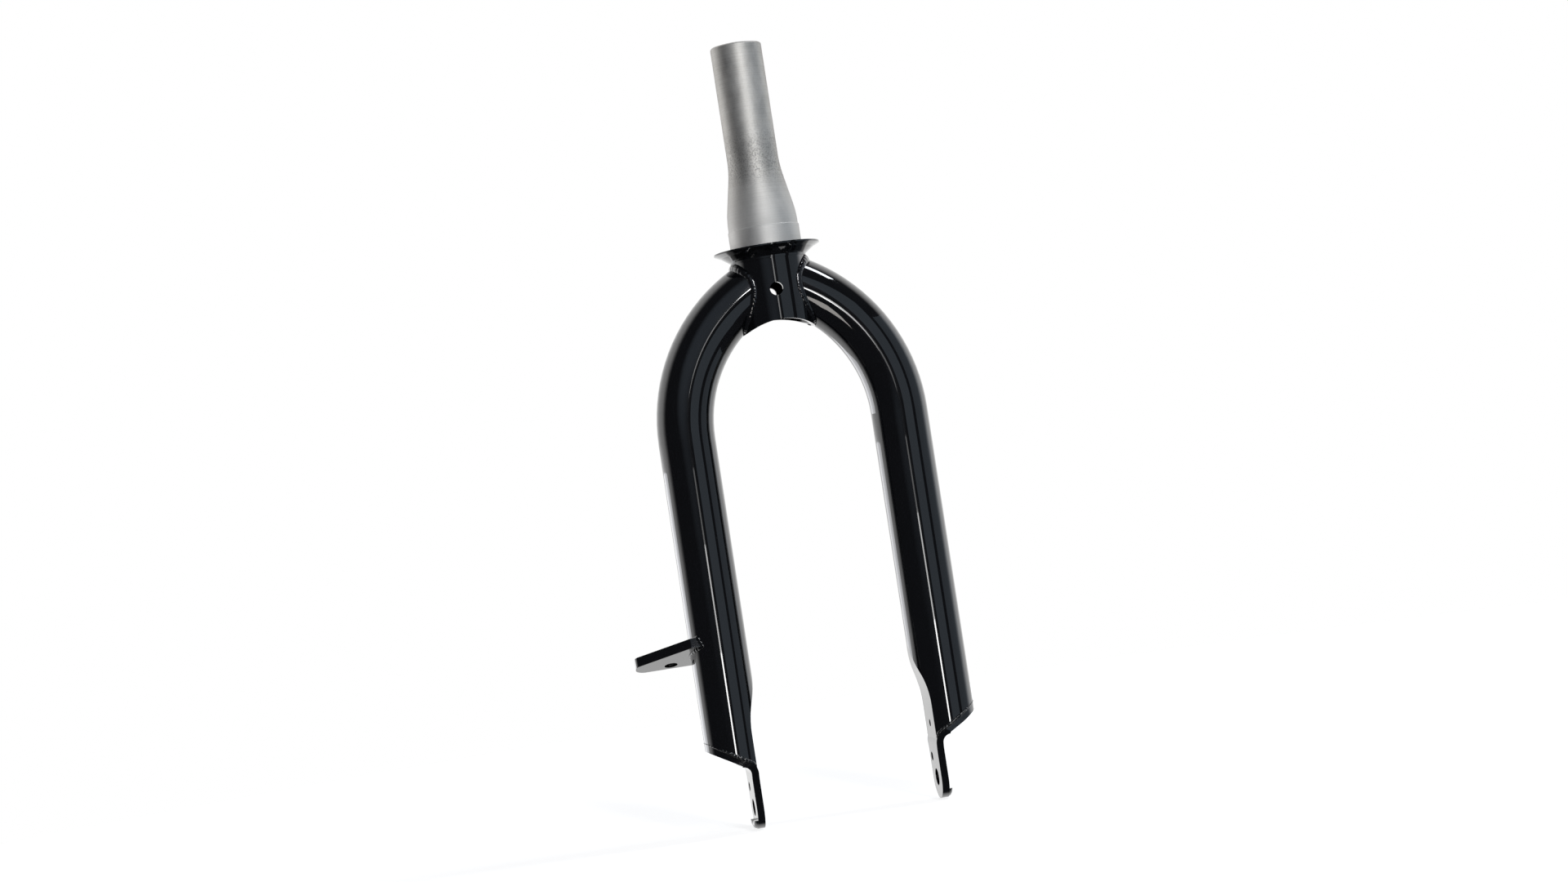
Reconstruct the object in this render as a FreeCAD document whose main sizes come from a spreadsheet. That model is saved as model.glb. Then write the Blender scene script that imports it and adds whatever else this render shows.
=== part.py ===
import FreeCAD, Part
import os

from FreeCAD import Placement, Rotation, Vector

doc = FreeCAD.newDocument("fork")
sheet = doc.addObject("Spreadsheet::Sheet", "sizes")

# Driving sizes in millimetres and degrees, heights as drops below the race stop
driving = (
    ("steerer_top", 114.3),
    ("steerer_radius", 14.3),
    ("steerer_bore", 11.9),
    ("steerer_chamfer", 0.7),
    ("taper_top", 45.0),
    ("taper_low", 18.0),
    ("taper_blend", 60.0),
    ("taper_radius", 19.5),
    ("seat_top", 11.0),
    ("seat_radius", 19.9),
    ("crown_radius", 20.4),
    ("crown_bore", 17.4),
    ("crown_length", 50.0),
    ("arch_web", 6.15),
    ("arch_tilt", 3.5),
    ("crown_hole_radius", 3.65),
    ("crown_hole_drop", 24.6),
    ("crown_hole_turn", 2.3),
    ("collar_rim_reach", 9.2),
    ("collar_rim_thick", 0.9),
    ("collar_boss_reach", 5.5),
    ("collar_boss_drop", 2.6),
    ("collar_neck_reach", 0.8),
    ("collar_cone_drop", 6.0),
    ("collar_length", 7.2),
    ("leg_radius", 15.9),
    ("leg_bore", 13.9),
    ("leg_stand", 10.2),
    ("leg_bend_radius", 87.0),
    ("leg_join_drop", 17.2),
    ("leg_bend_sweep", 72.0),
    ("leg_spare", 8.4),
    ("flat_step", 0.5),
    ("flat_length", 22.0),
    ("ramp_length", 36.0),
    ("vent_radius", 2.0),
    ("vent_rise", 11.1),
    ("hub_half", 50.0),
    ("plate_thick", 4.0),
    ("plate_bend_inside", 4.5),
    ("plate_length", 19.1),
    ("plate_half", 12.0),
    ("cap_half", 14.4),
    ("cap_corner", 6.0),
    ("cap_angle", 30.0),
    ("axle_drop", 304.7),
    ("axle_hole_radius", 4.75),
    ("lip_height", 2.2),
    ("lip_drop", 6.6),
    ("eyelet_radius", 2.5),
    ("eyelet_forward", 6.0),
    ("eyelet_rise", 11.3),
    ("lug_thick", 5.5),
    ("lug_reach", 46.1),
    ("lug_front", 17.0),
    ("lug_back", 13.3),
    ("lug_root", 16.0),
    ("lug_taper", 32.6),
    ("lug_nose_radius", 6.5),
    ("lug_tip_radius", 4.5),
    ("lug_drop", 217.0),
    ("lug_tilt", 20.0),
    ("lug_hole_radius", 3.7),
    ("lug_hole_offset", 26.3),
    ("lug_hole_forward", 11.2),
    ("crown_bead", 1.8),
    ("crown_bead_gap", 1.2),
    ("end_bead", 0.6),
    ("end_bead_half", 1.6),
    ("lug_bead", 2.0),
)
for row, (alias, value) in enumerate(driving, start=1):
    sheet.set("A%d" % row, alias)
    sheet.set("B%d" % row, str(value))
    sheet.setAlias("B%d" % row, alias)
doc.recompute()

# Places that follow from the driving sizes
places = {
    "leg_offset": "( hub_half + leg_stand )",
    "flat_offset": "( hub_half + flat_step )",
    "bend_inset": "( leg_bend_radius - leg_offset )",
    "leg_bend_drop": "( leg_join_drop + sqrt( leg_bend_radius ^ 2 - bend_inset ^ 2 ) )",
    "inner_rise": "sqrt( ( leg_bend_radius - leg_radius ) ^ 2 - bend_inset ^ 2 )",
    "arch_drop": "( leg_bend_drop - inner_rise + arch_web )",
    "low_rise": "sqrt( ( leg_bend_radius - leg_radius ) ^ 2 - ( bend_inset + crown_radius ) ^ 2 )",
    "leg_low": "( leg_bend_drop - low_rise )",
    "arch_sag": "( leg_low - arch_drop )",
    "arch_radius": "( ( crown_radius ^ 2 + arch_sag ^ 2 ) / ( 2 * arch_sag ) )",
    "collar_rim_radius": "( crown_radius + collar_rim_reach )",
    "collar_boss_radius": "( crown_radius + collar_boss_reach )",
    "collar_neck_radius": "( crown_radius + collar_neck_reach )",
    "plate_bend_drop": "( axle_drop - plate_length )",
    "leg_raw_drop": "( plate_bend_drop + leg_spare )",
    "flat_ramp_end": "( plate_bend_drop - flat_length )",
    "flat_ramp_top": "( flat_ramp_end - ramp_length )",
    "flat_ramp_mid": "( flat_ramp_end - ramp_length / 2 )",
    "press_depth": "( flat_step + leg_radius - leg_stand )",
    "press_radius": "( ( ramp_length ^ 2 + press_depth ^ 2 ) / ( 4 * press_depth ) )",
    "vent_drop": "( plate_bend_drop - vent_rise )",
    "eyelet_drop": "( axle_drop - eyelet_rise )",
    "lug_end": "( leg_offset + lug_reach )",
    "lug_start": "( leg_offset + lug_root )",
    "lug_eye": "( leg_offset + lug_hole_offset )",
}


def spell(text):
    words = []
    for word in text.split(" "):
        if word in places:
            words.append(spell(places[word]))
        elif word[0].isalpha() and not word.endswith("("):
            words.append("sizes." + word)
        else:
            words.append(word)
    return " ".join(words)


def solid(kind, label, sizes, base=("0", "0", "0"), axis=(0, 0, 1), turn="0"):
    obj = doc.addObject(kind, label)
    obj.Placement = Placement(Vector(0, 0, 0), Rotation(Vector(*axis), 30))
    obj.setExpression("Placement.Rotation.Angle", spell(turn))
    for letter, text in zip("xyz", base):
        obj.setExpression("Placement.Base." + letter, spell(text))
    for name, text in sizes.items():
        obj.setExpression(name, spell(text))
    return obj


def rod(label, radius, height, base=("0", "0", "0"), axis=(0, 0, 1), turn="0"):
    return solid("Part::Cylinder", label, {"Radius": radius, "Height": height}, base, axis, turn)


def taper(label, low, high, height, base):
    return solid("Part::Cone", label, {"Radius1": low, "Radius2": high, "Height": height}, base)


def block(label, length, width, height, base=("0", "0", "0"), axis=(0, 0, 1), turn="0"):
    return solid("Part::Box", label, {"Length": length, "Width": width, "Height": height}, base, axis, turn)


def join(label, *shapes):
    obj = doc.addObject("Part::MultiFuse", label)
    obj.Shapes = list(shapes)
    obj.Refine = True
    return obj


def meet(label, *shapes):
    obj = doc.addObject("Part::MultiCommon", label)
    obj.Shapes = list(shapes)
    return obj


def cut(label, base, *tools):
    obj = doc.addObject("Part::Cut", label)
    obj.Base = base
    obj.Tool = tools[0] if len(tools) == 1 else join(label + "_tools", *tools)
    return obj


def mirror(label, source):
    obj = doc.addObject("Part::Mirroring", label)
    obj.Source = source
    obj.Normal = Vector(1, 0, 0)
    return obj


ALONG_X = {"axis": (0, 1, 0), "turn": "90"}
ALONG_Y = {"axis": (1, 0, 0), "turn": "-90"}

# Steerer and crown tube in one piece, tapered, with a turned race seat
outer = join(
    "tube_outer",
    rod("upper_outer", "steerer_radius", "steerer_top - steerer_chamfer - taper_top",
        ("0", "0", "taper_top")),
    taper("upper_edge", "steerer_radius", "steerer_radius - steerer_chamfer", "steerer_chamfer",
          ("0", "0", "steerer_top - steerer_chamfer")),
    taper("taper_outer", "taper_radius", "steerer_radius", "taper_top - taper_low", ("0", "0", "taper_low")),
    rod("taper_foot", "taper_radius", "taper_low - seat_top", ("0", "0", "seat_top")),
)
doc.recompute()
value = dict(driving)
swaged = doc.addObject("Part::Fillet", "tube_swaged")
swaged.Base = outer
blends = []
for number, edge in enumerate(outer.Shape.Edges, start=1):
    level = edge.BoundBox.Center.z
    for wanted in (value["taper_top"], value["taper_low"]):
        if edge.BoundBox.ZLength < 0.01 and abs(level - wanted) < 0.01:
            blends.append((number, value["taper_blend"], value["taper_blend"]))
swaged.Edges = blends
whole = join(
    "tube_whole",
    swaged,
    rod("seat_outer", "seat_radius", "seat_top"),
    rod("crown_outer", "crown_radius", "crown_length", ("0", "0", "0 - crown_length")),
)
inner = join(
    "tube_inner",
    rod("upper_inner", "steerer_bore", "steerer_top - taper_top", ("0", "0", "taper_top")),
    taper("taper_inner", "crown_bore", "steerer_bore", "taper_top - seat_top", ("0", "0", "seat_top")),
    rod("crown_inner", "crown_bore", "seat_top + crown_length", ("0", "0", "0 - crown_length")),
)


def arch_rod(label, radius):
    made = rod(label, radius, "4 * crown_radius", ("0", "-2 * crown_radius", "0"),
               (1, 0, 0), "arch_tilt - 90")
    fall = " - sin(sizes.arch_tilt * 1 deg) * " + spell("2 * crown_radius")
    made.setExpression("Placement.Base.z", spell("0 - arch_drop - arch_radius") + fall)
    return made


arch = arch_rod("crown_arch", "arch_radius")
hole = rod("crown_hole", "crown_hole_radius", "4 * crown_radius", ("0", "-2 * crown_radius", "0"), **ALONG_Y)
turned = join("crown_hole_turned", hole, rod("crown_hole_back", "crown_hole_radius", "crown_radius",
                                             ("0", "0", "0"), **ALONG_Y))
turned.Placement = Placement(Vector(0, 0, 0), Rotation(Vector(0, 0, 1), 30))
turned.setExpression("Placement.Rotation.Angle", spell("0 - crown_hole_turn"))
turned.setExpression("Placement.Base.z", spell("0 - crown_hole_drop"))
steerer_tube = cut("steerer_tube", whole, inner, arch, turned)

# Turned collar with a thin flange, pushed on the tube
collar_body = join(
    "collar_body",
    rod("collar_rim", "collar_rim_radius", "collar_rim_thick", ("0", "0", "0 - collar_rim_thick")),
    taper("collar_under", "collar_boss_radius", "collar_rim_radius", "collar_boss_drop - collar_rim_thick",
          ("0", "0", "0 - collar_boss_drop")),
    taper("collar_cone", "collar_neck_radius", "collar_boss_radius", "collar_cone_drop - collar_boss_drop",
          ("0", "0", "0 - collar_cone_drop")),
    rod("collar_neck", "collar_neck_radius", "collar_length - collar_cone_drop",
        ("0", "0", "0 - collar_length")),
)
crown_collar = cut("crown_collar", collar_body,
                   rod("collar_bore", "crown_radius", "3 * collar_length", ("0", "0", "-2 * collar_length")))


# Legs: one bend and one straight run, coped to the crown tube, pressed flat inside near the end
def leg_run(label, radius):
    bend = solid(
        "Part::Torus", label + "_bend",
        {"Radius1": "leg_bend_radius", "Radius2": radius, "Angle3": "leg_bend_sweep"},
        ("leg_offset - leg_bend_radius", "0", "0 - leg_bend_drop"), (1, 0, 0), "90")
    run = rod(label + "_run", radius, "leg_raw_drop - leg_bend_drop", ("leg_offset", "0", "0 - leg_raw_drop"))
    return join(label, bend, run)


def press(label, wall):
    deep = "flat_offset + " + wall
    shallow = "leg_offset - leg_radius + " + wall
    wide = "4 * leg_radius"
    side = "-2 * leg_radius"
    flat = block(label + "_flat", "2 * leg_radius", wide, "leg_raw_drop - flat_ramp_end",
                 (deep + " - 2 * leg_radius", side, "0 - leg_raw_drop"))
    lower_round = rod(label + "_lower_round", "press_radius", wide,
                      (deep + " - press_radius", side, "0 - flat_ramp_end"), **ALONG_Y)
    lower_span = block(label + "_lower_span", "4 * leg_radius", wide, "ramp_length / 2",
                       (deep + " - 4 * leg_radius", side, "0 - flat_ramp_end"))
    upper_round = rod(label + "_upper_round", "press_radius", wide,
                      (shallow + " + press_radius", side, "0 - flat_ramp_top"), **ALONG_Y)
    upper_span = block(label + "_upper_span", "2 * leg_radius + press_depth / 2", wide, "ramp_length / 2",
                       (shallow + " - 2 * leg_radius", side, "0 - flat_ramp_mid"))
    return join(label, flat, meet(label + "_lower", lower_round, lower_span),
                cut(label + "_upper", upper_span, upper_round))


# Bend of the cap plate: its centre line runs fore and aft
bend_x = "hub_half + plate_thick + plate_bend_inside"
bend_outside = "plate_bend_inside + plate_thick"
span = "4 * leg_radius"
half_span = "-2 * leg_radius"


def below_cap(label, rise):
    plane = block(label + "_plane", "6 * leg_radius", span, "4 * leg_radius")
    plane.Placement = Placement(Vector(0, 0, 0), Rotation(Vector(0, 1, 0), 30))
    plane.setExpression("Placement.Rotation.Angle", spell("0 - cap_angle"))
    lean = "( " + spell(rise + " - 4 * leg_radius") + " )"
    across = " - sin(sizes.cap_angle * 1 deg) * " + lean
    upward = " + cos(sizes.cap_angle * 1 deg) * " + lean
    plane.setExpression("Placement.Base.x", spell(bend_x) + across)
    plane.setExpression("Placement.Base.y", spell(half_span))
    plane.setExpression("Placement.Base.z", spell("0 - plate_bend_drop") + upward)
    return plane


cope_tool = join(
    "cope_tool",
    below_cap("cope_plane", bend_outside),
    rod("cope_bend", bend_outside, span, (bend_x, half_span, "0 - plate_bend_drop"), **ALONG_Y),
    block("cope_below", "8 * leg_radius", span, "2 * leg_radius",
          ("0", half_span, "0 - plate_bend_drop - 2 * leg_radius")),
)
crown_fill = rod("crown_fill", "crown_radius", "3 * crown_length", ("0", "0", "-2 * crown_length"))
leg_outer = cut("leg_outer", leg_run("leg_full", "leg_radius"), press("press_out", "0"))
leg_hollow = cut("leg_hollow", leg_run("leg_void", "leg_bore"), press("press_in", "leg_radius - leg_bore"))
vent = rod("vent", "vent_radius", "leg_radius", ("hub_half - 4", "0", "0 - vent_drop"), **ALONG_X)
right_leg = cut("right_leg", leg_outer, leg_hollow, crown_fill, cope_tool, vent)
left_leg = mirror("left_leg", right_leg)

# Dropouts: a bent plate that caps the mitred leg end and runs down to the axle
straight = block("plate_straight", "plate_thick", span, "2 * leg_radius",
                 ("hub_half", half_span, "0 - plate_bend_drop - 2 * leg_radius"))
bend_line = (bend_x, half_span, "0 - plate_bend_drop")
round_out = rod("plate_round_out", bend_outside, span, bend_line, **ALONG_Y)
round_in = rod("plate_round_in", "plate_bend_inside", span, bend_line, **ALONG_Y)
slab = cut("plate_slab", below_cap("plate_upper", bend_outside),
           below_cap("plate_lower", "plate_bend_inside"))
beside = block("plate_beside", "6 * leg_radius", span, "8 * leg_radius",
               (bend_x + " - 6 * leg_radius", half_span, "0 - plate_bend_drop"))
beyond = below_cap("plate_beyond", "0")
ring = cut("plate_ring", round_out, round_in)
ring_side = meet("plate_bend", ring, beside)
ring_kept = cut("plate_bend_kept", ring_side, beyond)
blank = join("plate_blank", straight, ring_kept, slab)
cap_base = "0 - plate_bend_drop + 4"
cap_tip = "leg_offset + leg_radius - cap_corner"
cap_run = cap_tip + " - hub_half + 1"
shoulder = doc.addObject("Part::Wedge", "plate_shoulder")
shoulder.Placement = Placement(Vector(0, 0, 0), Rotation(Vector(1, 0, 0), 90))
shoulder_bounds = {
    "Xmin": "hub_half - 1", "X2min": "hub_half - 1",
    "Xmax": bend_x + " + 1", "X2max": bend_x + " + 1",
    "Ymin": "0 - plate_bend_drop - 3", "Ymax": "0 - plate_bend_drop + 5",
    "Zmin": "0 - plate_half", "Z2min": "0 - cap_half",
    "Zmax": "plate_half", "Z2max": "cap_half",
}
for name, size in shoulder_bounds.items():
    shoulder.setExpression(name, spell(size))
outline = join(
    "plate_outline",
    block("plate_cap_wide", cap_run, "2 * cap_half", "2 * leg_radius",
          ("hub_half - 1", "0 - cap_half", cap_base)),
    block("plate_cap_long", cap_run + " + cap_corner", "2 * cap_half - 2 * cap_corner", "2 * leg_radius",
          ("hub_half - 1", "cap_corner - cap_half", cap_base)),
    rod("plate_cap_back", "cap_corner", "2 * leg_radius", (cap_tip, "cap_corner - cap_half", cap_base)),
    rod("plate_cap_front", "cap_corner", "2 * leg_radius", (cap_tip, "cap_half - cap_corner", cap_base)),
    shoulder,
    block("plate_tongue", "plate_bend_inside + plate_thick + 2", "2 * plate_half",
          "axle_drop - plate_bend_drop + 6", ("hub_half - 1", "0 - plate_half", "0 - axle_drop")),
    rod("plate_end", "plate_half", "plate_thick + 2", ("hub_half - 1", "0", "0 - axle_drop"), **ALONG_X),
)
plate = meet("plate", blank, outline)
outer_face = ("hub_half + plate_thick", "0", "0 - axle_drop")
lip_sizes = {"Radius1": "plate_half - 1.15 * lip_height", "Radius2": "lip_height"}
lip_ring = solid("Part::Torus", "lip_ring", lip_sizes, outer_face, **ALONG_X)
lip = meet("lip", lip_ring, block("lip_side", "4 * lip_height", "4 * plate_half", "2 * plate_half",
                                  ("hub_half + plate_thick - 2 * lip_height", "-2 * plate_half",
                                   "0 - axle_drop - lip_drop - 2 * plate_half")))
eyelet = rod("eyelet_hole", "eyelet_radius", "4 * plate_thick",
             ("hub_half - 2 * plate_thick", "eyelet_forward", "0 - eyelet_drop"), **ALONG_X)
axle = rod("axle_hole", "axle_hole_radius", "4 * plate_thick",
           ("hub_half - plate_thick", "0", "0 - axle_drop"), **ALONG_X)
right_dropout = cut("right_dropout", join("plate_with_lip", plate, lip), eyelet, axle)
left_dropout = mirror("left_dropout", right_dropout)

# Lug on the left leg, laid flat first and then tilted to stand level on the bicycle
flat_lug = block("lug_block", "lug_reach", "lug_front + lug_back", "lug_thick",
                 ("0 - lug_end", "0 - lug_back", "0"))
back_cut = block("lug_back_cut", "2 * lug_reach", "lug_reach", "3 * lug_thick",
                 ("0", "0", "-1 * lug_thick"))
back_cut.Placement = Placement(Vector(0, 0, 0), Rotation(Vector(0, 0, 1), 30))
back_cut.setExpression("Placement.Rotation.Angle", spell("180 - lug_taper"))
back_along = " + cos(sizes.lug_taper * 1 deg) * sizes.lug_reach"
back_aside = " - sin(sizes.lug_taper * 1 deg) * sizes.lug_reach"
back_cut.setExpression("Placement.Base.x", spell("0 - lug_start") + back_along)
back_cut.setExpression("Placement.Base.y", spell("0 - lug_back") + back_aside)
nose = cut(
    "lug_nose_cut",
    block("lug_nose_block", "2 * lug_nose_radius", "2 * lug_nose_radius", "3 * lug_thick",
          ("0 - lug_end - lug_nose_radius", "lug_front - lug_nose_radius", "-1 * lug_thick")),
    rod("lug_nose_round", "lug_nose_radius", "3 * lug_thick",
        ("0 - lug_end + lug_nose_radius", "lug_front - lug_nose_radius", "-1 * lug_thick")),
)
lug_hole = rod("lug_hole", "lug_hole_radius", "3 * lug_thick",
               ("0 - lug_eye", "lug_hole_forward", "-1 * lug_thick"))
tip_base = spell("( lug_end - lug_start - lug_tip_radius )") + " * tan(sizes.lug_taper * 1 deg)"
tip_rise = " + sizes.lug_tip_radius / cos(sizes.lug_taper * 1 deg)"
tip_y = spell("0 - lug_back") + " + " + tip_base + tip_rise
tip_round = rod("lug_tip_round", "lug_tip_radius", "3 * lug_thick",
                ("0 - lug_end + lug_tip_radius", "0", "-1 * lug_thick"))
tip_round.setExpression("Placement.Base.y", tip_y)
tip_block = block("lug_tip_block", "2 * lug_tip_radius", "2 * lug_tip_radius", "3 * lug_thick",
                  ("0", "0", "-1 * lug_thick"))
tip_inset = " - sin(sizes.lug_taper * 1 deg) * sizes.lug_tip_radius"
tip_block.setExpression("Placement.Base.x", spell("0 - lug_end - lug_tip_radius") + tip_inset)
tip_block.setExpression("Placement.Base.y", tip_y + " - 2 * sizes.lug_tip_radius")
tip = cut("lug_tip_cut", tip_block, tip_round)
lug_flat = cut("lug_flat", flat_lug, back_cut, nose, tip, lug_hole)
lug_flat.Placement = Placement(Vector(0, 0, 0), Rotation(Vector(1, 0, 0), 30))
lug_flat.setExpression("Placement.Rotation.Angle", spell("0 - lug_tilt"))
lug_flat.setExpression("Placement.Base.z", spell("0 - lug_drop"))
lug_seat = rod("lug_seat", "leg_radius", "leg_raw_drop", ("0 - leg_offset", "0", "0 - leg_raw_drop"))
steering_lug = cut("steering_lug", lug_flat, lug_seat)

# Weld beads: a band round each seam, as thick as the bead, cut back to the pieces it joins
crown_reach = solid(
    "Part::Torus", "crown_bead_leg",
    {"Radius1": "leg_bend_radius", "Radius2": "leg_radius + crown_bead", "Angle3": "leg_bend_sweep"},
    ("leg_offset - leg_bend_radius", "0", "0 - leg_bend_drop"), (1, 0, 0), "90")
crown_round = rod("crown_bead_tube", "crown_radius + crown_bead", "3 * crown_length",
                  ("0", "0", "-2 * crown_length"))
crown_band = meet("crown_bead_band", crown_reach, crown_round)
crown_toe = arch_rod("crown_bead_toe", "arch_radius + crown_bead_gap")
right_crown_weld = cut("right_crown_weld", crown_band, leg_outer, crown_fill, collar_body, crown_toe)
left_crown_weld = mirror("left_crown_weld", right_crown_weld)

end_round = rod("end_bead_round", "leg_radius + end_bead", "leg_raw_drop",
                ("leg_offset", "0", "-1.5 * leg_raw_drop"))
end_slab = cut("end_bead_slab", below_cap("end_bead_top", bend_outside + " + 2 * end_bead_half"),
               below_cap("end_bead_low", bend_outside))
end_band = meet("end_bead_band", end_round, end_slab)
end_fill = rod("end_fill", "leg_radius", "leg_raw_drop", ("leg_offset", "0", "-1.5 * leg_raw_drop"))
end_side = block("end_side", "4 * leg_radius", "6 * leg_radius", "leg_raw_drop",
                 ("flat_offset - 4 * leg_radius", "-3 * leg_radius", "-1.5 * leg_raw_drop"))
right_dropout_weld = cut("right_dropout_weld", end_band, end_fill, end_side)
left_dropout_weld = mirror("left_dropout_weld", right_dropout_weld)

lug_wrap = block("lug_bead_wrap", "lug_reach", "lug_front + lug_back + 2 * lug_bead",
                 "lug_thick + 2 * lug_bead", ("0 - lug_end", "0 - lug_back - lug_bead", "0 - lug_bead"))
lug_core = block("lug_bead_core", "lug_reach", "lug_bead", "lug_thick", ("0 - lug_end", "0", "0"))
lug_wrap_tilted = join("lug_bead_tilted", lug_wrap, lug_core)
lug_wrap_tilted.Placement = Placement(Vector(0, 0, 0), Rotation(Vector(1, 0, 0), 30))
lug_wrap_tilted.setExpression("Placement.Rotation.Angle", spell("0 - lug_tilt"))
lug_wrap_tilted.setExpression("Placement.Base.z", spell("0 - lug_drop"))
lug_round = rod("lug_bead_round", "leg_radius + lug_bead", "leg_raw_drop",
                ("0 - leg_offset", "0", "0 - leg_raw_drop"))
lug_band = meet("lug_bead_band", lug_round, lug_wrap_tilted)
lug_weld = cut("lug_weld", lug_band, lug_seat, lug_flat)
doc.recompute()

# Check every piece and write one file for each
pieces = (
    steerer_tube, crown_collar, left_leg, right_leg, left_dropout, right_dropout, steering_lug,
    left_crown_weld, right_crown_weld, left_dropout_weld, right_dropout_weld, lug_weld,
)
for obj in doc.Objects:
    if "Invalid" in obj.State or "Error" in obj.State:
        raise RuntimeError("not built: " + obj.Label)
os.makedirs("parts", exist_ok=True)
for piece in pieces:
    shape = piece.Shape
    if shape.isNull() or not shape.isValid() or len(shape.Solids) != 1:
        raise RuntimeError("bad shape: %s solids %d" % (piece.Label, len(shape.Solids)))
    shape.exportStep("parts/" + piece.Label + ".step")
    box = shape.BoundBox
    print(piece.Label, round(shape.Volume), [round(v, 1) for v in (
        box.XMin, box.XMax, box.YMin, box.YMax, box.ZMin, box.ZMax)])
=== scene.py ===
import math

import bmesh
import bpy
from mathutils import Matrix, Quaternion, Vector


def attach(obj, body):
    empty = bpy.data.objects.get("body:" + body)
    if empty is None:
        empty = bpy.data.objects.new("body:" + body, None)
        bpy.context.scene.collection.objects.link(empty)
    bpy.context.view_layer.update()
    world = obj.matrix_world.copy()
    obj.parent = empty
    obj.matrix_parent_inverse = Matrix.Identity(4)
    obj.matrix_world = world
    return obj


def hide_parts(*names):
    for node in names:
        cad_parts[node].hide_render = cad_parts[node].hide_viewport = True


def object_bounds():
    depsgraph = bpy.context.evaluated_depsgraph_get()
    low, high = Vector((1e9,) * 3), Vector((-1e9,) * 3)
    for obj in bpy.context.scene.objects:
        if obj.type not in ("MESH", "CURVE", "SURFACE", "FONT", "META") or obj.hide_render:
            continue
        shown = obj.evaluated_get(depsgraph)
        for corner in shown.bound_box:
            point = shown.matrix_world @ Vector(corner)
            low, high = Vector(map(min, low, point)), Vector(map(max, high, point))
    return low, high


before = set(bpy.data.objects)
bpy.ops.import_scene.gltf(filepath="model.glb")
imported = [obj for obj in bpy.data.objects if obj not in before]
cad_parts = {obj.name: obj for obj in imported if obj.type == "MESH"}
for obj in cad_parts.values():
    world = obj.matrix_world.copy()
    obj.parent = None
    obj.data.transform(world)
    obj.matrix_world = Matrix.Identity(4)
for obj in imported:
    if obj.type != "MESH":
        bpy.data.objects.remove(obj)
cad_low, cad_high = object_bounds()


# Steerer tube: one drawn steel tube, straight at the top, swaged wider towards the crown.
# It is turned at the race seat and left bare above the collar for the headset bearings.
# Below the collar, where the legs are welded to it, it takes the same black gloss as they do.
def node(tree, kind, settings=None, **sockets):
    made = tree.nodes.new("ShaderNode" + kind)
    for key, value in (settings or {}).items():
        setattr(made, key, value)
    for key, value in sockets.items():
        numbered = key[0] == "i" and key[1:].isdigit()
        socket = made.inputs[int(key[1:])] if numbered else made.inputs[key]
        if isinstance(value, bpy.types.NodeSocket):
            tree.links.new(value, socket)
        else:
            socket.default_value = value
    return made


def math_node(tree, operation, first, second=0.0, third=0.0):
    return node(tree, "Math", {"operation": operation}, i0=first, i1=second, i2=third).outputs[0]


def ramp(tree, value, low, high, start=0.0, end=1.0):
    made = node(tree, "MapRange", {"interpolation_type": "SMOOTHSTEP"}, Value=value)
    made.inputs["From Min"].default_value = low
    made.inputs["From Max"].default_value = high
    made.inputs["To Min"].default_value = start
    made.inputs["To Max"].default_value = end
    return made.outputs["Result"]


def blend_colour(tree, mask, first, second):
    return node(tree, "Mix", {"data_type": "RGBA"}, i0=mask, i6=first, i7=second).outputs[2]


def blend_value(tree, mask, first, second):
    return node(tree, "Mix", {"data_type": "FLOAT"}, i0=mask, i2=first, i3=second).outputs[0]


def effect(name, given, made):
    group = bpy.data.node_groups.new(name, "ShaderNodeTree")
    for label, kind, value in given:
        socket = group.interface.new_socket(label, in_out="INPUT", socket_type="NodeSocket" + kind)
        socket.default_value = value
    for label, kind in made:
        group.interface.new_socket(label, in_out="OUTPUT", socket_type="NodeSocket" + kind)
    return group, group.nodes.new("NodeGroupInput").outputs, group.nodes.new("NodeGroupOutput").inputs


def millimetres(tree):
    place = node(tree, "TexCoord").outputs["Object"]
    return node(tree, "VectorMath", {"operation": "SCALE"}, i0=place, Scale=1000.0).outputs[0]


def stretched(tree, place, along):
    return node(tree, "VectorMath", {"operation": "MULTIPLY"}, i0=place, i1=along).outputs[0]


def noise(tree, place, scale, detail=2.0, roughness=0.5):
    made = node(tree, "TexNoise", Vector=place, Scale=scale, Detail=detail, Roughness=roughness)
    return made.outputs["Fac"]


# Gloss paint film: near-black pigment, faint flow-out waves and a little dust under the clear
pigment_deep = (0.0022, 0.0024, 0.0030, 1.0)
pigment_thin = (0.0042, 0.0048, 0.0062, 1.0)
dust_grey = (0.03, 0.031, 0.033, 1.0)
pigment_scale = 0.06
dust_scale = 1.7
dust_dulling = 0.2
dust_height = 0.6
film, film_in, film_out = effect(
    "gloss_film",
    (("Wave size", "Float", 2.6), ("Dust", "Float", 0.5)),
    (("Colour", "Color"), ("Roughness", "Float"), ("Height", "Float")),
)
film_place = millimetres(film)
film_wave = noise(film, film_place, math_node(film, "DIVIDE", 1.0, film_in["Wave size"]), detail=1.0)
film_cloud = noise(film, film_place, pigment_scale, detail=3.0)
film_speck = ramp(film, noise(film, film_place, dust_scale, detail=0.0), low=0.76, high=0.83)
film_speck = math_node(film, "MULTIPLY", film_speck, film_in["Dust"])
film_black = blend_colour(film, film_cloud, pigment_deep, pigment_thin)
film_rough = ramp(film, film_cloud, low=0.3, high=0.7, start=0.10, end=0.17)
film_rough = math_node(film, "MULTIPLY_ADD", film_speck, dust_dulling, film_rough)
film_height = math_node(film, "MULTIPLY_ADD", film_speck, dust_height, film_wave)
film.links.new(blend_colour(film, film_speck, film_black, dust_grey), film_out["Colour"])
film.links.new(film_rough, film_out["Roughness"])
film.links.new(film_height, film_out["Height"])

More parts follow.
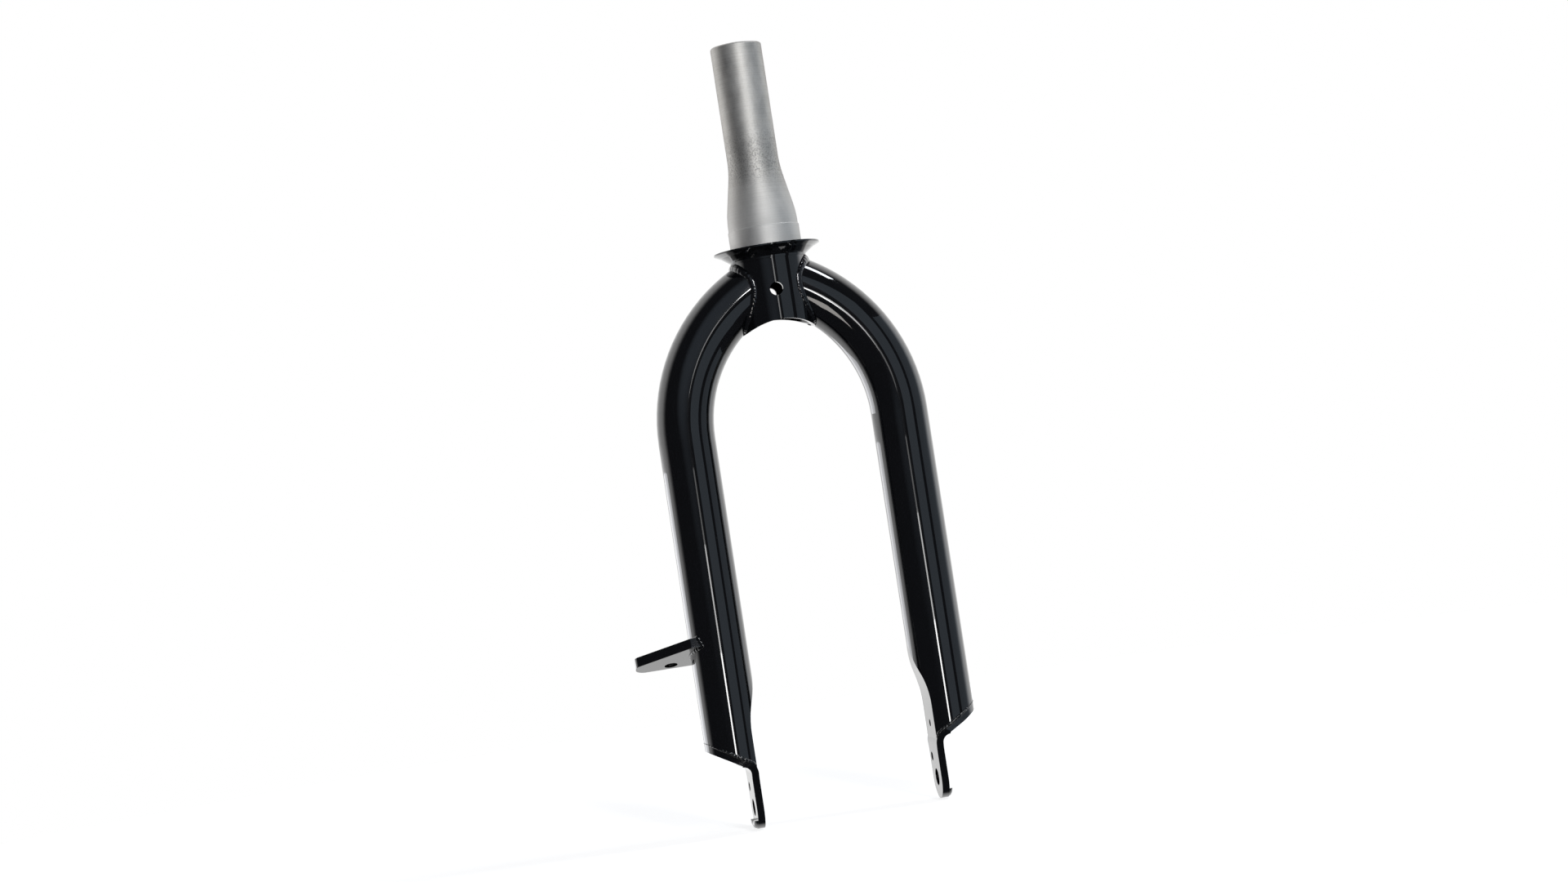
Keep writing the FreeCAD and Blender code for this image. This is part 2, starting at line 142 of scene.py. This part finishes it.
# Turned steel: fine rings left by the lathe, clouded by handling and a dull oxide bloom
steel_dark = (0.60, 0.58, 0.545, 1.0)
steel_light = (0.80, 0.778, 0.737, 1.0)
ring_bright = (0.89, 0.88, 0.86, 1.0)
oxide_grey = (0.40, 0.39, 0.375, 1.0)
ring_stretch = (0.012, 0.012, 1.9)
hairline_stretch = (0.03, 0.03, 6.0)
handling_stretch = (0.12, 0.12, 0.08)
oxide_scale = 1.1
oxide_dulling = 0.12
hairline_height = 0.5
turned, turned_in, turned_out = effect(
    "turned_steel",
    (("Bloom", "Float", 0.5),),
    (("Colour", "Color"), ("Roughness", "Float"), ("Height", "Float")),
)
turned_place = millimetres(turned)
turned_rings = noise(turned, stretched(turned, turned_place, ring_stretch), 1.0, 3.0, 0.6)
turned_fine = noise(turned, stretched(turned, turned_place, hairline_stretch), 1.0, 1.0)
turned_cloud = noise(turned, stretched(turned, turned_place, handling_stretch), 1.0, 4.0, 0.6)
turned_grain = noise(turned, turned_place, oxide_scale, 4.0, 0.7)
turned_patch = ramp(turned, turned_cloud, low=0.30, high=0.70)
turned_base = blend_colour(turned, turned_patch, steel_dark, steel_light)
ring_mask = ramp(turned, turned_rings, low=0.3, high=0.7, end=0.45)
turned_lined = blend_colour(turned, ring_mask, turned_base, ring_bright)
turned_dull = ramp(turned, turned_grain, low=0.42, high=0.7)
turned_dull = math_node(turned, "MULTIPLY", turned_dull, turned_in["Bloom"])
turned_rough = ramp(turned, turned_cloud, low=0.25, high=0.75, start=0.52, end=0.60)
turned_rough = math_node(turned, "MULTIPLY_ADD", turned_dull, oxide_dulling, turned_rough)
turned_height = math_node(turned, "MULTIPLY_ADD", turned_fine, hairline_height, turned_rings)
turned.links.new(blend_colour(turned, turned_dull, turned_lined, oxide_grey), turned_out["Colour"])
turned.links.new(turned_rough, turned_out["Roughness"])
turned.links.new(turned_height, turned_out["Height"])


def blank_material(name):
    made = bpy.data.materials.new(name)
    made.use_nodes = True
    return made, made.node_tree, made.node_tree.nodes["Principled BSDF"]


def group_node(tree, group, **values):
    made = tree.nodes.new("ShaderNodeGroup")
    made.node_tree = group
    for key, value in values.items():
        socket = made.inputs[key.replace("_", " ")]
        if isinstance(value, bpy.types.NodeSocket):
            tree.links.new(value, socket)
        else:
            socket.default_value = value
    return made.outputs


def dress(name, material):
    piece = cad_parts[name]
    piece.data.materials.clear()
    piece.data.materials.append(material)


# Heights in millimetres above the collar
steerer_paint_line = 0.3
steerer_seat_top = 11.0
steerer_swage_top = 46.0
# paler steel colour laid on from the seat up into the swage
seat_bright = (0.93, 0.92, 0.90, 1.0)
# painted highlight: near-white colour for a thin line along the race seat's top edge
seat_edge_highlight_colour = (0.95, 0.94, 0.92, 1.0)
steel_edge_tint = (0.4, 0.4, 0.4, 1.0)
bloom_on_tube = 0.12
# share of the darker, duller, mottled band round the top of the swage
swage_band_darkening = 0.75
clear_roughness = 0.02
clear_ior = 1.8
pigment_gloss = 0.1
painted_relief = 0.08
steerer_edge_round = 0.0005
steerer_relief_depth = 0.00003
steerer_relief_strength = 0.35
bevel_samples = 6
steerer_material, tree, surface = blank_material("steerer_steel_and_paint")
place = millimetres(tree)
height = node(tree, "SeparateXYZ", Vector=place).outputs["Z"]
bare = ramp(tree, height, steerer_paint_line - 0.2, steerer_paint_line + 0.2)
# The bare steel is made darker, duller and more mottled in a band round the top of the swage.
swage_below = ramp(tree, height, steerer_swage_top - 16.0, steerer_swage_top - 1.0)
swage_above = ramp(tree, height, steerer_swage_top + 4.0, steerer_swage_top + 26.0, start=1.0, end=0.0)
swage_dark_band = math_node(tree, "MULTIPLY", swage_below, swage_above)
steel_dulling = math_node(tree, "MULTIPLY_ADD", swage_dark_band, swage_band_darkening, bloom_on_tube)
steel = group_node(tree, turned, Bloom=steel_dulling)
# Painted highlight: a thin band of near-white colour along the race seat's top edge, where the step would
# catch the light.
seat_gap = math_node(tree, "ABSOLUTE", math_node(tree, "SUBTRACT", height, steerer_seat_top))
seat_edge_highlight = ramp(tree, seat_gap, low=0.15, high=0.6, start=0.55, end=0.0)
# The bare steel is made paler from just below the seat's top edge, fading out towards the top of the swage.
seat_pale = ramp(tree, height, steerer_seat_top - 1.0, steerer_swage_top, start=0.65, end=0.0)
steel_colour = blend_colour(tree, seat_pale, steel["Colour"], seat_bright)
steel_colour = blend_colour(tree, seat_edge_highlight, steel_colour, seat_edge_highlight_colour)
seat_smooth = ramp(tree, height, steerer_seat_top - 0.4, steerer_seat_top + 0.4, start=0.04, end=0.0)
swage_rough = ramp(tree, height, low=2.0, high=steerer_swage_top + 10.0, start=0.09, end=0.0)
steel_rough = math_node(tree, "SUBTRACT", steel["Roughness"], seat_smooth)
steel_rough = math_node(tree, "ADD", steel_rough, swage_rough)
gloss = group_node(tree, film, Wave_size=6.0, Dust=0.3)
tree.links.new(blend_colour(tree, bare, gloss["Colour"], steel_colour), surface.inputs["Base Color"])
tree.links.new(blend_value(tree, bare, gloss["Roughness"], steel_rough), surface.inputs["Roughness"])
tree.links.new(bare, surface.inputs["Metallic"])
tree.links.new(math_node(tree, "SUBTRACT", 1.0, bare), surface.inputs["Coat Weight"])
surface.inputs["Coat Roughness"].default_value = clear_roughness
surface.inputs["Coat IOR"].default_value = clear_ior
surface.inputs["Specular IOR Level"].default_value = pigment_gloss
surface.inputs["Specular Tint"].default_value = steel_edge_tint
painted_height = math_node(tree, "MULTIPLY", gloss["Height"], painted_relief)
relief = blend_value(tree, bare, painted_height, steel["Height"])
softened = node(tree, "Bevel", {"samples": bevel_samples}, Radius=steerer_edge_round)
bump = node(tree, "Bump", Height=relief, Normal=softened.outputs["Normal"],
            Strength=steerer_relief_strength, Distance=steerer_relief_depth)
tree.links.new(bump.outputs["Normal"], surface.inputs["Normal"])
dress("steerer_tube", steerer_material)


# Collar: a turned steel ring with a thin dished flange, pushed up the tube against the race seat.
# It is sprayed with the fork, so the same black gloss covers it and rounds its edges a little.
film_relief_strength = 0.3


def gloss_material(name, wave_size, dust, relief_depth, edge_round=0.0):
    made, tree, surface = blank_material(name)
    gloss = group_node(tree, film, Wave_size=wave_size, Dust=dust)
    tree.links.new(gloss["Colour"], surface.inputs["Base Color"])
    tree.links.new(gloss["Roughness"], surface.inputs["Roughness"])
    surface.inputs["Coat Weight"].default_value = 1.0
    surface.inputs["Coat Roughness"].default_value = clear_roughness
    surface.inputs["Coat IOR"].default_value = clear_ior
    surface.inputs["Specular IOR Level"].default_value = pigment_gloss
    bump = node(tree, "Bump", Height=gloss["Height"], Strength=film_relief_strength, Distance=relief_depth)
    if edge_round:
        softened = node(tree, "Bevel", {"samples": bevel_samples}, Radius=edge_round)
        tree.links.new(softened.outputs["Normal"], bump.inputs["Normal"])
    tree.links.new(bump.outputs["Normal"], surface.inputs["Normal"])
    return made


collar_edge_round = 0.0004
collar_paint = gloss_material("collar_paint", wave_size=1.8, dust=0.3, relief_depth=0.00002,
                              edge_round=collar_edge_round)
dress("crown_collar", collar_paint)


# Legs: round steel tubes, each bent once near the crown, coped to the crown tube at the top,
# and pressed flat on the inside near the bottom so that the hub's end has room.
leg_radius = 0.0159
leg_offset = 0.0602
leg_paint = gloss_material("leg_paint", wave_size=7.0, dust=0.45, relief_depth=0.00003)
for leg in ("left_leg", "right_leg"):
    dress(leg, leg_paint)


# Dropouts: plates cut from sheet steel and bent once, the upper part capping the mitred leg,
# the lower part drilled for the axle and a mudguard stay, with a raised lip at the outer end.
# The cap ends flush with the leg, so its outer corners are trimmed to the tube's round outline.
axle_drop = 0.3047
plate_length = 0.0191
plate_edge_round = 0.0007
plate_sharp_angle = math.radians(40.0)
trim_reach = 0.02
trim_height = 0.04
trim_steps = 64
merge_gap = 0.000001
bend_z = plate_length - axle_drop
plate_paint = gloss_material("plate_paint", wave_size=2.2, dust=0.6, relief_depth=0.00004,
                             edge_round=plate_edge_round)


def linked(name, mesh):
    data = bpy.data.meshes.new(name)
    mesh.to_mesh(data)
    mesh.free()
    made = bpy.data.objects.new(name, data)
    bpy.context.scene.collection.objects.link(made)
    return made


def space_outside_leg(hand):
    mesh = bmesh.new()
    outer = leg_radius + trim_reach
    top = bend_z + trim_height
    corners = ((leg_radius, bend_z), (leg_radius, top), (outer, top), (outer, bend_z))
    sections = []
    for index in range(trim_steps + 1):
        turn = math.pi * (index / trim_steps - 0.5)
        section = []
        for radius, z in corners:
            out = leg_offset + radius * math.cos(turn)
            section.append(mesh.verts.new((hand * out, radius * math.sin(turn), z)))
        sections.append(section)
    for first, second in zip(sections, sections[1:]):
        for index in range(len(corners)):
            after = (index + 1) % len(corners)
            mesh.faces.new((first[index], first[after], second[after], second[index]))
    mesh.faces.new(sections[0])
    mesh.faces.new(sections[-1])
    bmesh.ops.recalc_face_normals(mesh, faces=mesh.faces)
    return linked("space_outside_leg", mesh)


for label, hand in (("left", -1.0), ("right", 1.0)):
    mesh = bmesh.new()
    mesh.from_mesh(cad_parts[label + "_dropout"].data)
    bmesh.ops.remove_doubles(mesh, verts=mesh.verts, dist=merge_gap)
    plate = linked(label + "_dropout_plate", mesh)
    cutter = space_outside_leg(hand)
    trim = plate.modifiers.new("trim", "BOOLEAN")
    trim.operation = "DIFFERENCE"
    trim.solver = "EXACT"
    trim.object = cutter
    trimmed = plate.evaluated_get(bpy.context.evaluated_depsgraph_get())
    plate.data = bpy.data.meshes.new_from_object(trimmed)
    plate.modifiers.clear()
    bpy.data.objects.remove(cutter)
    if "custom_normal" in plate.data.attributes:
        plate.data.attributes.remove(plate.data.attributes["custom_normal"])
    plate.data.set_sharp_from_angle(angle=plate_sharp_angle)
    plate.data.materials.append(plate_paint)
    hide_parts(label + "_dropout")
    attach(plate, "root")


# Lug: a thick steel plate, tapered to its tip and welded at a slant on the outside of the left leg,
# drilled for a steering rod. The paint rounds its cut edges a little.
lug_edge_round = 0.0007
lug_paint = gloss_material("lug_paint", wave_size=2.0, dust=0.6, relief_depth=0.00004,
                           edge_round=lug_edge_round)
dress("steering_lug", lug_paint)


# Crown welds: a hand-run bead all round each coped leg end, except under the arch, where the
# tube's rim is left clean. Each drop of metal overlaps the last, and the paint follows the ripples.
def along(points, step):
    reach = [0.0]
    for before, after in zip(points, points[1:]):
        reach.append(reach[-1] + (after - before).length)
    count = max(2, int(reach[-1] / step))
    spaced = []
    slot = 0
    for index in range(count + 1):
        wanted = reach[-1] * index / count
        while slot < len(reach) - 2 and reach[slot + 1] < wanted:
            slot += 1
        share = (wanted - reach[slot]) / max(reach[slot + 1] - reach[slot], 1e-9)
        spaced.append(points[slot].lerp(points[slot + 1], share))
    return spaced


bead_sides = 18
rings_per_drop = 9.0
end_rounding = 1.6
end_share = 0.04
drop_trail = 0.55
drop_wander = 0.12
drop_wander_pitch = 900.0
drop_peak = 0.35
drop_spread = 0.43


def bead(name, points, outward, radius, drop_length, ripple, crest, swell=None):
    step = drop_length / rings_per_drop
    path = along(points, step)
    rings = []
    mesh = bmesh.new()
    for index, centre in enumerate(path):
        ahead = path[min(index + 1, len(path) - 1)] - path[max(index - 1, 0)]
        ahead.normalize()
        up = outward(centre)
        up = (up - ahead * up.dot(ahead)).normalized()
        side = ahead.cross(up)
        travel = index * step
        end = min(travel, (len(path) - 1 - index) * step) / (end_rounding * radius)
        rounding = math.sqrt(max(0.0, 1.0 - (1.0 - min(end, 1.0)) ** 2))
        taper = rounding * (1.0 - end_share) + end_share
        wide = radius * (swell(centre) if swell else 1.0)
        drift = drop_wander * math.sin(travel * drop_wander_pitch)
        ring = []
        for turn in range(bead_sides):
            angle = 2.0 * math.pi * turn / bead_sides
            lag = drop_trail * (1.0 - math.cos(angle)) * 0.5
            phase = (travel / drop_length + lag + drift) % 1.0
            fullness = math.sqrt(max(0.0, 1.0 - (phase - drop_peak) ** 2 / drop_spread))
            size = wide * taper * (1.0 - ripple * (1.0 - fullness))
            raised = up * (math.cos(angle) * size * crest)
            ring.append(mesh.verts.new(centre + raised + side * (math.sin(angle) * size)))
        rings.append(ring)
    for first, second in zip(rings, rings[1:]):
        for turn in range(bead_sides):
            after = (turn + 1) % bead_sides
            mesh.faces.new((first[turn], first[after], second[after], second[turn]))
    mesh.faces.new(list(reversed(rings[0])))
    mesh.faces.new(rings[-1])
    bmesh.ops.recalc_face_normals(mesh, faces=mesh.faces)
    piece = linked(name, mesh)
    for face in piece.data.polygons:
        face.use_smooth = True
    return piece


leg_bend_radius = 0.087
leg_join_drop = 0.0172
crown_radius = 0.0204
crown_bead_radius = 0.0021
crown_bead_half_sweep = 163.0
crown_bead_points = 240
knob_drop = 0.009
knob_half = 0.004
knob_swell = 0.45
bend_inset = leg_bend_radius - leg_offset
bend_drop = leg_join_drop + math.sqrt(leg_bend_radius ** 2 - bend_inset ** 2)
weld_paint = gloss_material("weld_paint", wave_size=1.1, dust=0.9, relief_depth=0.00005)
for label, hand in (("left", -1.0), ("right", 1.0)):
    seam = []
    for index in range(crown_bead_points + 1):
        turn = math.radians(-crown_bead_half_sweep + 2.0 * crown_bead_half_sweep * index / crown_bead_points)
        reach = leg_bend_radius + leg_radius * math.cos(turn)
        across = leg_radius * math.sin(turn)
        inward = math.sqrt(crown_radius ** 2 - across ** 2) + bend_inset
        rise = math.sqrt(reach ** 2 - inward ** 2)
        seam.append(Vector((hand * (inward - bend_inset), across, rise - bend_drop)))

    def crown_outward(point, hand=hand):
        from_tube = Vector((point.x, point.y, 0.0)).normalized()
        centre = Vector((-hand * bend_inset, 0.0, -bend_drop))
        spoke = Vector((point.x - centre.x, 0.0, point.z - centre.z)).normalized()
        from_leg = (point - (centre + spoke * leg_bend_radius)).normalized()
        return (from_tube + from_leg).normalized()

    def crown_swell(point):
        return 1.0 + knob_swell * math.exp(-((point.z + knob_drop) / knob_half) ** 2)

    weld = bead(label + "_crown_bead", seam, crown_outward, crown_bead_radius,
                drop_length=0.0031, ripple=0.17, crest=0.6, swell=crown_swell)
    weld.data.materials.append(weld_paint)
    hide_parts(label + "_crown_weld")
    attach(weld, "root")


# Dropout welds: a small bead where each plate's cap meets the mitred leg, round the outside only,
# because the pressed inner side is dressed flush with the plate. It thins out towards the cap's tip.
plate_thick = 0.0040
plate_bend_inside = 0.0045
hub_half = 0.05
cap_angle = math.radians(30.0)
end_bead_radius = 0.0011
end_bead_half_sweep = 126.0
end_bead_points = 160
end_bead_thinning = 0.7
cap_reach = plate_bend_inside + plate_thick
bend_x = hub_half + cap_reach
cap_start_x = bend_x - math.sin(cap_angle) * cap_reach
cap_start_z = bend_z + math.cos(cap_angle) * cap_reach
for label, hand in (("left", -1.0), ("right", 1.0)):
    seam = []
    for index in range(end_bead_points + 1):
        turn = math.radians(-end_bead_half_sweep + 2.0 * end_bead_half_sweep * index / end_bead_points)
        out = leg_offset + leg_radius * math.cos(turn)
        if out > cap_start_x:
            rise = cap_start_z + (out - cap_start_x) * math.tan(cap_angle)
        else:
            rise = bend_z + math.sqrt(cap_reach ** 2 - (bend_x - out) ** 2)
        seam.append(Vector((hand * out, leg_radius * math.sin(turn), rise)))

    def end_outward(point, hand=hand):
        return Vector((point.x - hand * leg_offset, point.y, 0.0)).normalized()

    def end_swell(point, hand=hand):
        return 1.0 - end_bead_thinning * max(0.0, (hand * point.x - leg_offset) / leg_radius)

    weld = bead(label + "_dropout_bead", seam, end_outward, end_bead_radius,
                drop_length=0.0024, ripple=0.7, crest=0.85, swell=end_swell)
    weld.data.materials.append(weld_paint)
    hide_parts(label + "_dropout_weld")
    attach(weld, "root")


# Lug weld: one bead along the underside, round the rear edge and along the top.
# It is run by hand in one pass, so its drops still show under the paint.
lug_drop = 0.217
lug_tilt = math.radians(20.0)
lug_back = -0.0133
lug_front = 0.0148
lug_thick = 0.0055
lug_bead_radius = 0.0013
lug_edge_points = 60
corners = ((lug_front, 0.0), (lug_back, 0.0), (lug_back, lug_thick), (lug_front, lug_thick))
seam = []
for (start_y, start_z), (end_y, end_z) in zip(corners, corners[1:]):
    for index in range(lug_edge_points):
        share = index / (lug_edge_points - 1)
        flat_y = start_y + (end_y - start_y) * share
        flat_z = start_z + (end_z - start_z) * share
        forward = flat_y * math.cos(lug_tilt) + flat_z * math.sin(lug_tilt)
        rise = flat_z * math.cos(lug_tilt) - flat_y * math.sin(lug_tilt) - lug_drop
        out = leg_offset + math.sqrt(max(leg_radius ** 2 - forward ** 2, 0.0))
        seam.append(Vector((-out, forward, rise)))


def lug_outward(point):
    return Vector((point.x + leg_offset, point.y, 0.0)).normalized()


lug_bead = bead("lug_bead", seam, lug_outward, lug_bead_radius, drop_length=0.0025, ripple=0.4, crest=0.75)
lug_bead.data.materials.append(weld_paint)
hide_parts("lug_weld")
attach(lug_bead, "root")


# Floor: a round white table under the fork, matt, with a faint shadow on it. It stays out of the
# reflections in the paint and the steel, which show the paper and the lamps of the studio instead.
white = (1.0, 1.0, 1.0, 1.0)
black = (0.0, 0.0, 0.0, 1.0)
floor_height = cad_low.z - 0.0008
floor_radius = 1.1
floor_matt = (0.80, 0.80, 0.81, 1.0)
disc = bmesh.new()
bmesh.ops.create_circle(disc, cap_ends=True, segments=128, radius=floor_radius)
floor = linked("floor", disc)
floor.location = (0.0, 0.0, floor_height)
floor.visible_glossy = False
floor_material = bpy.data.materials.new("floor_white")
floor_material.use_nodes = True
tree = floor_material.node_tree
tree.nodes.clear()
seen = node(tree, "LightPath").outputs["Is Camera Ray"]
place = node(tree, "TexCoord").outputs["Object"]
reach = node(tree, "VectorMath", {"operation": "LENGTH"}, i0=place).outputs["Value"]
paleness = ramp(tree, reach, low=0.25, high=0.8, start=0.84, end=1.0)
glow_colour = blend_colour(tree, math_node(tree, "MULTIPLY", seen, paleness), black, white)
glow = node(tree, "Emission", Color=glow_colour, Strength=1.0).outputs[0]
matte = node(tree, "BsdfDiffuse", Color=floor_matt).outputs[0]
added = node(tree, "AddShader", i0=matte, i1=glow).outputs[0]
tree.links.new(added, node(tree, "OutputMaterial").inputs["Surface"])
floor.data.materials.append(floor_material)


# Studio: white all round for the camera. In the paint, the white paper shows behind the fork and
# the room in front of it is dark, so that tube edges turn pale and tube fronts stay black.
# High in front, a soft pale spot on the room's wall gives the upper bends their dull sheen.
camera_bearing = -math.radians(8.776)
room_dark = (0.034, 0.035, 0.040, 1.0)
wall_spot = (0.18, 0.21, 0.25, 1.0)
wall_spot_turn = camera_bearing - math.radians(5.0)
wall_spot_rise = math.radians(26.0)
wall_spot_edge = math.cos(math.radians(32.0))
wall_spot_core = math.cos(math.radians(10.0))
wall_spot_heading = (
    math.cos(wall_spot_rise) * math.sin(wall_spot_turn),
    -math.cos(wall_spot_rise) * math.cos(wall_spot_turn),
    math.sin(wall_spot_rise),
)
world = bpy.data.worlds.new("studio")
bpy.context.scene.world = world
world.use_nodes = True
tree = world.node_tree
tree.nodes.clear()
rays = node(tree, "LightPath").outputs
heading = node(tree, "TexCoord").outputs["Generated"]
paper = ramp(tree, node(tree, "SeparateXYZ", Vector=heading).outputs["Y"], low=0.0, high=0.45)
mirrored = math_node(tree, "MAXIMUM", rays["Is Glossy Ray"], rays["Is Transmission Ray"])
mirrored = math_node(tree, "MULTIPLY", mirrored, paper)
seen = math_node(tree, "MAXIMUM", rays["Is Camera Ray"], mirrored)
facing = node(tree, "VectorMath", {"operation": "DOT_PRODUCT"}, i0=heading, i1=wall_spot_heading)
soft = ramp(tree, facing.outputs["Value"], wall_spot_edge, wall_spot_core)
sky = blend_colour(tree, seen, blend_colour(tree, soft, room_dark, wall_spot), white)
back = node(tree, "Background", Color=sky, Strength=1.0).outputs[0]
tree.links.new(back, node(tree, "OutputWorld").inputs["Surface"])


# Lamps: narrow upright strips right of the camera, for the thin line down each leg and the light on
# the bare tube, dim cool panels for the broad bands beside the line, a pale panel behind on the left
# for the rims, and two boxes, one high and one low, for the glints on the right bend.
lamp_aim = Vector((0.0, 0.0, -0.1))
neutral = (1.0, 1.0, 1.0)
cool = (0.72, 0.86, 1.0)
rim_cool = (0.94, 0.95, 1.0)
box_cool = (0.90, 0.95, 1.0)
box_warm = (1.0, 0.96, 0.92)


def lamp(name, turn, low, high, width, brightness, colour=neutral, away=2.2):
    data = bpy.data.lights.new(name, "AREA")
    data.shape = "RECTANGLE"
    data.size = width
    data.size_y = high - low
    data.energy = brightness * math.pi * width * (high - low)
    data.color = colour
    bearing = camera_bearing + math.radians(turn)
    spot = Vector((away * math.sin(bearing), -away * math.cos(bearing), (low + high) / 2.0))
    made = bpy.data.objects.new(name, data)
    made.location = spot
    made.rotation_mode = "QUATERNION"
    made.rotation_quaternion = (lamp_aim - spot).to_track_quat("-Z", "Y")
    made.visible_camera = False
    bpy.context.scene.collection.objects.link(made)


lamp("leg_strip", turn=10.0, low=-0.435, high=-0.30, width=0.19, brightness=13.0)
lamp("leg_strip_middle", turn=10.0, low=-0.30, high=-0.16, width=0.19, brightness=5.0)
lamp("leg_strip_end", turn=10.0, low=-0.16, high=-0.06, width=0.19, brightness=0.9)
lamp("crown_strip", turn=13.0, low=0.06, high=0.26, width=0.14, brightness=1.8)
lamp("upper_strip", turn=15.5, low=0.30, high=1.25, width=0.20, brightness=26.5)
lamp("near_panel", turn=39.0, low=-1.3, high=1.2, width=1.30, brightness=0.30, colour=cool)
lamp("side_panel", turn=97.0, low=-1.3, high=1.2, width=2.50, brightness=0.24, colour=cool)
lamp("left_rim_panel", turn=-131.0, low=-1.0, high=-0.05, width=1.4, brightness=1.7, colour=rim_cool)
lamp("upper_right_box", turn=86.0, low=1.36, high=1.90, width=0.35, brightness=13.0,
     colour=box_cool, away=1.2)
lamp("low_left_panel", turn=-11.0, low=-1.42, high=-0.86, width=0.47, brightness=3.0,
     colour=box_warm, away=1.9)


# Camera: behind and to the left of the fork, a little below the crown, with a long lens.
# It is rolled, so that the fork leans in the picture.
camera_reach = 1.63958
camera_height = -0.1563
camera_aim = Vector((-0.0066, 0.0, -0.10753))
camera_roll = math.radians(-8.726)
camera_data = bpy.data.cameras.new("camera")
camera_data.sensor_width = 36.0
camera_data.lens = 67.836
camera_data.clip_start = 0.05
camera_data.clip_end = 50.0
camera = bpy.data.objects.new("camera", camera_data)
camera.location = (
    camera_reach * math.sin(camera_bearing),
    -camera_reach * math.cos(camera_bearing),
    camera_height,
)
camera.rotation_mode = "QUATERNION"
camera_look = (camera_aim - Vector(camera.location)).to_track_quat("-Z", "Y")
camera.rotation_quaternion = camera_look @ Quaternion((0.0, 0.0, 1.0), camera_roll)
bpy.context.scene.collection.objects.link(camera)
bpy.context.scene.camera = camera
bpy.context.scene.view_settings.view_transform = "Standard"
